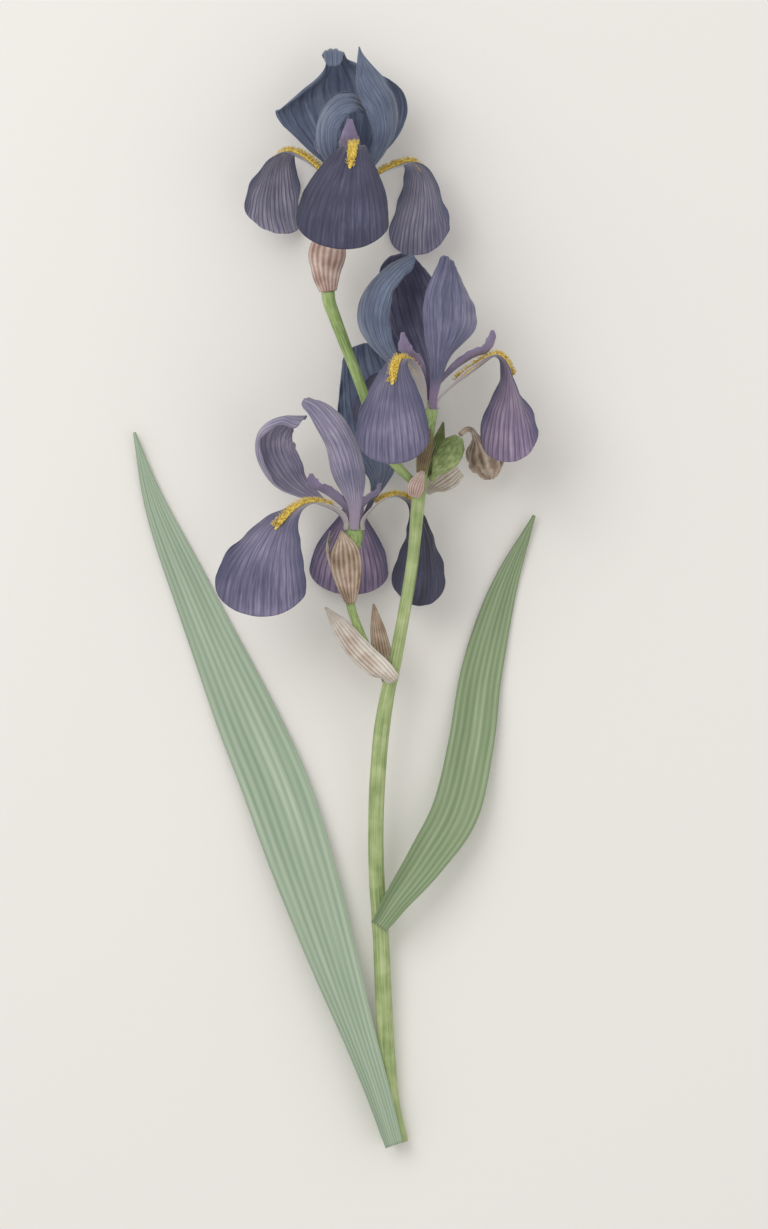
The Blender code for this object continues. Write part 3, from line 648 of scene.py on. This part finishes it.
TOP_FLOWER = (8.0, 223.0, 46.0)
fall_piece(TOP_FLOWER, "top_flower_fall_front", DARK_FALL, 0,
           [(0.5, 10, 14), (1.5, 20, 25), (2, 24, 35), (1, 17, 43), (-1.5, 0, 48), (-4, -18, 48),
            (-5, -33, 45)],
           (0, 0, -3), 25.5, ruffle=1.2, waves=2.5, folds=0.3)
fall_piece(TOP_FLOWER, "top_flower_fall_left", PALE_REVERSE, -120,
           [(-14, 10, -8), (-24, 19, -14), (-34, 23, -19), (-41, 16, -25), (-44, 1, -29), (-44, -11, -29),
            (-42, -21, -24)],
           (-120, -126, -136), 22.5, ruffle=1.3, waves=2.2, folds=0.3, seed=1.0)
fall_piece(TOP_FLOWER, "top_flower_fall_right", PALE_REVERSE, 120,
           [(14, 9, -8), (25, 15, -15), (34, 17, -20), (40, 9, -26), (41, -7, -29), (40, -21, -29),
            (40, -33, -27)],
           (120, 126, 136), 23.0, ruffle=1.3, waves=2.2, folds=0.3, seed=2.0)
petal(TOP_FLOWER, "top_flower_standard_back", SLATE_PETAL, 180,
      [(0, 10, -12), (0, 22, -20), (0, 38, -25), (-1, 54, -23), (-4, 66, -17), (-7, 74, -13), (-9, 79, -6),
       (-9, 77, 2), (-9, 69, 4)],
      (180, 180, 180), ((2.2, 4.0, 13.0, 24.0, 31.0, 33.0, 27.0, 8.5, 7.5, 6.0),
                        (2.2, 4.0, 15.0, 28.0, 38.0, 42.0, 38.0, 10.0, 7.5, 6.0)), lag=0.06,
      cup=(20, 5, 15, 30, 50, 60), ruffle=1.4, waves=3.0, folds=0.4)
petal(TOP_FLOWER, "top_flower_standard_left", SLATE_PETAL, -60,
      [(-8, 10, 6), (-15, 24, 11), (-15, 38, 13), (-8, 48, 12), (2, 51, 9), (11, 45, 5)],
      (-60, -60, -50, (0.4, -0.3, 0.8), (0.3, -0.6, 0.7), (0.2, -0.7, 0.7)),
      (2.2, 3.6, 7.6, 11.0, 12.5, 11.0, 8.0), lag=0.12, cup=(20, 40, 45, 30), ruffle=0.9, folds=0.3)
petal(TOP_FLOWER, "top_flower_standard_right", SLATE_PETAL, 60,
      [(9, 9, 7), (17, 21, 12), (21, 34, 14), (19, 48, 14), (12, 61, 12), (7, 72, 8), (5, 80, 4)],
      (60, 55, 35, 22, 15), (2.2, 3.6, 6.5, 9.5, 11.5, 10.0, 0.6), lag=0.12, cup=(20, 40, 50, 40, 30),
      ruffle=0.8, folds=0.3)
for side, facing, reach, broad in (("front", 0, 1.0, 1.1), ("left", -120, 0.8, 1.0),
                                   ("right", 120, 0.8, 1.0)):
    style_piece(TOP_FLOWER, "top_flower_style_" + side, facing, reach, reach, broad=broad)

# ---------------------------------------------------------------- right bloom
# The second bloom: one standard leans left like an ear, one rises and spreads to the right, and the third
# stands behind. Its right fall hangs clear of the stem and its left fall hangs in front of it.

LILAC_FALL = petal_material("lilac_fall", paint(150, 142, 168), paint(112, 108, 134), paint(78, 78, 102),
                            paint(204, 196, 194), paint(62, 54, 88), claw_end=0.32,
                            edge=paint(76, 78, 102))
PINK_FALL = petal_material("pink_fall", paint(186, 166, 188), paint(146, 128, 156), paint(96, 92, 122),
                           paint(206, 196, 194), paint(84, 70, 108), claw_end=0.34,
                           edge=paint(84, 86, 112), strength=0.6)
MAUVE_PETAL = petal_material("mauve_petal", paint(146, 142, 168), paint(108, 108, 136), paint(76, 80, 106),
                             paint(146, 126, 156), paint(66, 62, 92), claw_end=0.14)

RIGHT_FLOWER = (51.0, 108.0, 60.0)
fall_piece(RIGHT_FLOWER, "right_flower_fall_left", LILAC_FALL, -30,
           [(-4.5, 10, 12), (-9, 18, 22), (-16, 22, 30), (-19, 13, 37), (-20, -6, 41), (-20, -22, 40),
            (-19.5, -35, 37)],
           (-30, -28, -15, -10), 20.5, ruffle=1.2, waves=2.6, folds=0.3, seed=0.5)
fall_piece(RIGHT_FLOWER, "right_flower_fall_right", PINK_FALL, 90,
           [(14, 9, 0), (25, 18, -3), (37, 25, -7), (44, 18, -11), (46, 2, -14), (46, -16, -15),
            (46.5, -33, -13)],
           (84, 62, 95, 128, 138), 22.0, ruffle=1.2, waves=2.4, folds=0.3, seed=1.5)
fall_piece(RIGHT_FLOWER, "right_flower_fall_back", LILAC_FALL, -150,
           [(-9, 7, -13), (-15, 14, -20), (-21, 16, -26), (-25, 9, -30), (-26, -5, -31), (-25, -18, -30)],
           (-150, -155, -165), 17.0, beard=(0.25, 0.5), beard_half=2.0, ruffle=0.6, folds=0.2, seed=2.5)
petal(RIGHT_FLOWER, "right_flower_standard_left", SLATE_PETAL, -90,
      [(-9, 9, 2), (-18, 18, 5), (-29, 31, 8), (-34, 46, 8), (-30, 62, 6), (-19, 74, 3), (-8, 80, 0)],
      (-90, -60, -45, -45, -30), (2.2, 3.6, 9.0, 14.0, 16.0, 14.0, 9.0), lag=0.1, cup=(20, 45, 60, 60),
      roll=(0, 110), ruffle=1.0, folds=0.3, seed=0.4)
petal(RIGHT_FLOWER, "right_flower_standard_back", MAUVE_PETAL, 150,
      [(2, 10, -12), (-1, 26, -21), (-6, 44, -23), (-11, 62, -19), (-14, 75, -12), (-13, 81, -6)],
      (150, 165, 180), (2.2, 3.6, 14.0, 23.0, 24.0, 20.0, 14.0), lag=0.1, cup=(20, 15, 40, 50),
      ruffle=1.4, folds=0.4, seed=1.4)
petal(RIGHT_FLOWER, "right_flower_standard_right", MAUVE_PETAL, 30,
      [(4.5, 12, 9), (5, 28, 14), (5, 44, 16), (6, 60, 15), (9, 73, 12), (10, 79, 8)],
      (30, 30, (0.85, -0.35, -0.35), (0.8, -0.5, -0.3), (0.75, -0.55, -0.3)),
      ((2.2, 3.6, 5.0, 8.0, 10.0, 8.0, 4.0), (2.2, 3.6, 10.0, 27.0, 30.0, 24.0, 10.0)), lag=0.04,
      cup=(20, 30, 30, 30), roll=(150, 40), ruffle=1.2, folds=0.5, seed=2.4)
for side, facing, reach, turn in (("left", -34, 0.95, (-34,)), ("right", 97, 1.35, (97, 70, 50, 45)),
                                  ("back", -150, 0.7, (-150,))):
    style_piece(RIGHT_FLOWER, "right_flower_style_" + side, facing, reach, min(reach, 1.0), turn)

# ---------------------------------------------------------------- left bloom
# The lowest bloom, turned part way round: its left fall spreads out flat, its right fall arches behind the
# stem and its pink back fall hangs below its tube. Two standards are pale and the third is slate blue.

PALE_PETAL = petal_material("pale_petal", paint(186, 178, 194), paint(148, 142, 164), paint(104, 104, 130),
                            paint(168, 152, 172), paint(84, 78, 108), claw_end=0.14, strength=0.5)

LEFT_FLOWER = (10.5, 42.0, 40.0)
fall_piece(LEFT_FLOWER, "left_flower_fall_left", LILAC_FALL, -60,
           [(-9, 6, 9), (-20, 10, 18), (-31, 8, 26), (-41, -2, 32), (-48, -18, 36), (-52, -36, 36),
            (-53, -52, 34)],
           (-60, -50, -30, -20, -15), 26.0, lag=0.16, beard=(0.17, 0.56), ruffle=1.5, waves=2.6,
           folds=0.4, seed=0.2)
fall_piece(LEFT_FLOWER, "left_flower_fall_right", DARK_FALL, 60,
           [(9, 6, 2), (16, 12, -1), (25, 14, -5), (33, 8, -9), (37, -6, -12), (37, -22, -13),
            (36, -38, -13), (34, -46, -12)],
           (60, 90, 120, 135, 140), 19.0, beard=(0.17, 0.56), ruffle=1.2, waves=2.4, folds=0.3, seed=1.2)
fall_piece(LEFT_FLOWER, "left_flower_fall_back", PINK_FALL, 180,
           [(0, 8, -12), (0, 12, -21), (-1, 6, -29), (-2, -8, -33), (-3, -24, -33), (-4, -40, -31)],
           (180,), 22.0, lag=0.16, beard=(0.25, 0.5), beard_half=2.0, ruffle=1.0, waves=2.2,
           folds=0.3, seed=2.2)
petal(LEFT_FLOWER, "left_flower_standard_left", PALE_PETAL, -120,
      [(-10, 6, -4), (-22, 12, -5), (-36, 21, -4), (-46, 35, 0), (-47, 48, 4), (-38, 57, 7), (-26, 58, 8)],
      (-120, -140, -148, -148, -135), (2.2, 4.0, 9.0, 14.0, 16.0, 15.0, 11.0), lag=0.1,
      cup=(20, 35, 45, 45), roll=(40, 130), ruffle=1.3, folds=0.4, seed=0.6)
petal(LEFT_FLOWER, "left_flower_standard_front", PALE_PETAL, 0,
      [(0, 14, 10), (-2, 28, 16), (-6, 42, 18), (-13, 54, 18), (-21, 63, 15), (-28, 67, 11)],
      (0, 10, 0, -10), ((2.2, 4.0, 10.0, 13.0, 13.0, 11.0, 6.0), (2.2, 4.0, 8.0, 9.0, 9.0, 9.0, 6.0)),
      lag=0.1, cup=(20, 40, 50, 45), roll=(100, 30), ruffle=1.2, folds=0.4, seed=1.6)
petal(LEFT_FLOWER, "left_flower_standard_back", SLATE_PETAL, 120,
      [(9, 10, -6), (16, 26, -16), (16, 48, -26), (13, 70, -29), (8, 88, -27), (6, 99, -23)],
      (120, 130, 160, 170), (2.2, 3.2, 11.0, 22.0, 25.0, 22.0, 15.0), lag=0.1, cup=(20, 15, 25, 30),
      ruffle=1.3, folds=0.4, seed=2.6)
for side, facing, reach, rise, turn in (("left", -72, 0.95, 0.68, (-72, -50, -35, -30)),
                                        ("right", 68, 0.58, 0.55, (68,)), ("back", 188, 0.6, 0.55, (188,))):
    style_piece(LEFT_FLOWER, "left_flower_style_" + side, facing, reach, rise, turn)

# ---------------------------------------------------------------- table, light and camera
# A plain pale surface that the cut stem lies on, soft studio light from two sides and all round, and a
# camera that looks straight down. Its frame is FRAME_HEIGHT tall at FLOWER_HEIGHT above the surface.

LAMP_AIM = Vector((0.0, 0.0, 0.03))
FLOOR_HALF_SIZE = 6.0
FLOOR_HEIGHT = -0.0005
FRAME_HEIGHT = 0.676
CAMERA_HEIGHT = 5.0
FLOWER_HEIGHT = 0.04
SENSOR = 36.0


def lamp(name, place, size, power):
    """A soft square light aimed at the middle of the stem."""
    light = bpy.data.lights.new(name, "AREA")
    light.size, light.energy = size, power
    made = bpy.data.objects.new(name, light)
    made.location = place
    made.rotation_euler = (LAMP_AIM - Vector(place)).to_track_quat("-Z", "Y").to_euler()
    bpy.context.scene.collection.objects.link(made)


bm = bmesh.new()
bmesh.ops.create_grid(bm, x_segments=1, y_segments=1, size=FLOOR_HALF_SIZE)
floor_mesh = bpy.data.meshes.new("floor")
bm.to_mesh(floor_mesh)
bm.free()
floor = bpy.data.objects.new("floor", floor_mesh)
floor.location.z = FLOOR_HEIGHT
bpy.context.scene.collection.objects.link(floor)
floor_paint, _, floor_shader = new_material("floor_white", 0.9)
floor_shader.inputs["Base Color"].default_value = paint(238, 235, 230)
floor_mesh.materials.append(floor_paint)

lamp("key_light", (-0.9, 0.9, 1.7), 1.4, 16.0)
lamp("fill_light", (1.2, -0.6, 1.9), 1.8, 5.5)
bpy.context.scene.view_settings.view_transform = "Standard"
world = bpy.data.worlds.new("studio")
world.use_nodes = True
sky = world.node_tree.nodes["Background"].inputs
sky["Color"].default_value = (1.0, 0.99, 0.975, 1.0)
sky["Strength"].default_value = 0.66
bpy.context.scene.world = world

lens = bpy.data.cameras.new("camera")
lens.sensor_width = SENSOR
lens.lens = SENSOR * (CAMERA_HEIGHT - FLOWER_HEIGHT) / FRAME_HEIGHT
lens.clip_end = 50.0
camera = bpy.data.objects.new("camera", lens)
camera.location = (0.0275, -0.0085, CAMERA_HEIGHT)
bpy.context.scene.collection.objects.link(camera)
bpy.context.scene.camera = camera
